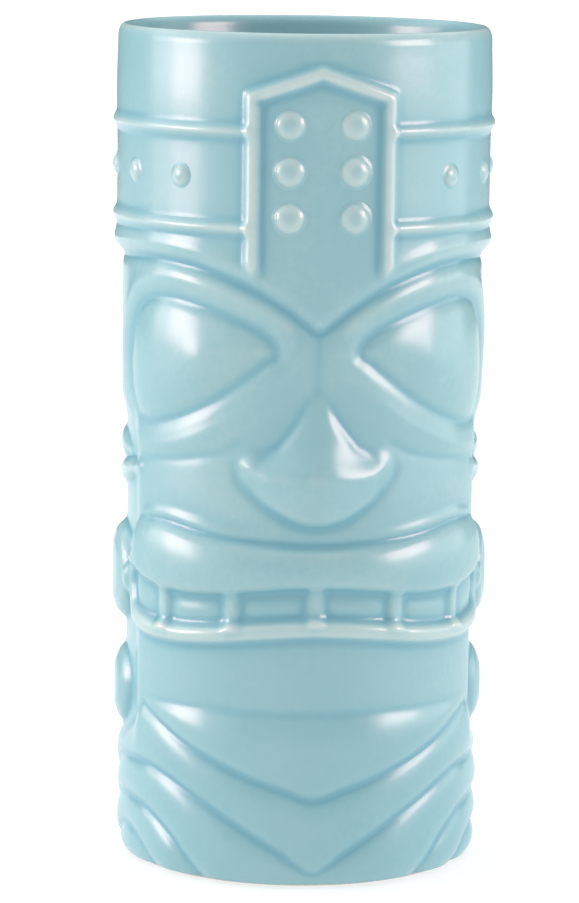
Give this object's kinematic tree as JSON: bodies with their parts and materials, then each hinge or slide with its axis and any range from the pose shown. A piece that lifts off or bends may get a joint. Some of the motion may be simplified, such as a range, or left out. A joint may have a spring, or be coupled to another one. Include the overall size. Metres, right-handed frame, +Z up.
{
  "type": "tiki mug",
  "caption": "Tall straight-sided ceramic cup for cold drinks, carved all round as a stylised mask under a studded headband, in a pale blue gloss glaze.",
  "frame": {"origin": "centre of the foot, on the surface the mug stands on", "axes": "+Z up the mug's own axis towards the rim, the face looks towards -Y, +X towards the right of someone looking at the face"},
  "size_m": [0.0736, 0.0737, 0.16],
  "materials": {
    "blue_glaze": "gloss",
    "bare_stoneware": "matte"
  },
  "bodies": {
    "root": {"badge_frame": "blue_glaze", "badge_stud_left_1": "blue_glaze", "badge_stud_left_2": "blue_glaze", "badge_stud_left_3": "blue_glaze", "badge_stud_right_1": "blue_glaze", "badge_stud_right_2": "blue_glaze", "badge_stud_right_3": "blue_glaze", "band_stud_1": "blue_glaze", "band_stud_10": "blue_glaze", "band_stud_11": "blue_glaze", "band_stud_12": "blue_glaze", "band_stud_13": "blue_glaze", "band_stud_2": "blue_glaze", "band_stud_3": "blue_glaze", "band_stud_4": "blue_glaze", "band_stud_5": "blue_glaze", "band_stud_6": "blue_glaze", "band_stud_7": "blue_glaze", "band_stud_8": "blue_glaze", "band_stud_9": "blue_glaze", "beard_band": "blue_glaze", "beard_lock_left_1": "blue_glaze", "beard_lock_left_2": "blue_glaze", "beard_lock_left_3": "blue_glaze", "beard_lock_right_1": "blue_glaze", "beard_lock_right_2": "blue_glaze", "beard_lock_right_3": "blue_glaze", "brow_ring_left": "blue_glaze", "brow_ring_right": "blue_glaze", "cheek_left": "blue_glaze", "cheek_right": "blue_glaze", "chin": "blue_glaze", "chin_plate": "blue_glaze", "ear_drop_left": "blue_glaze", "ear_drop_right": "blue_glaze", "ear_lower_left": "blue_glaze", "ear_lower_right": "blue_glaze", "ear_plug_left": "blue_glaze", "ear_plug_right": "blue_glaze", "ear_upper_left": "blue_glaze", "ear_upper_right": "blue_glaze", "eye_left": "blue_glaze", "eye_right": "blue_glaze", "foot_ring": "bare_stoneware", "forehead": "blue_glaze", "hair": "blue_glaze", "headband_lower_rail": "blue_glaze", "headband_upper_rail": "blue_glaze", "lower_lip": "blue_glaze", "nose": "blue_glaze", "teeth": "blue_glaze", "temple_left": "blue_glaze", "temple_right": "blue_glaze", "tooth_bar_1": "blue_glaze", "tooth_bar_2": "blue_glaze", "tooth_bar_3": "blue_glaze", "tooth_bar_4": "blue_glaze", "tooth_bar_5": "blue_glaze", "upper_lip": "blue_glaze", "vessel": "blue_glaze"}
  },
  "joints": []
}
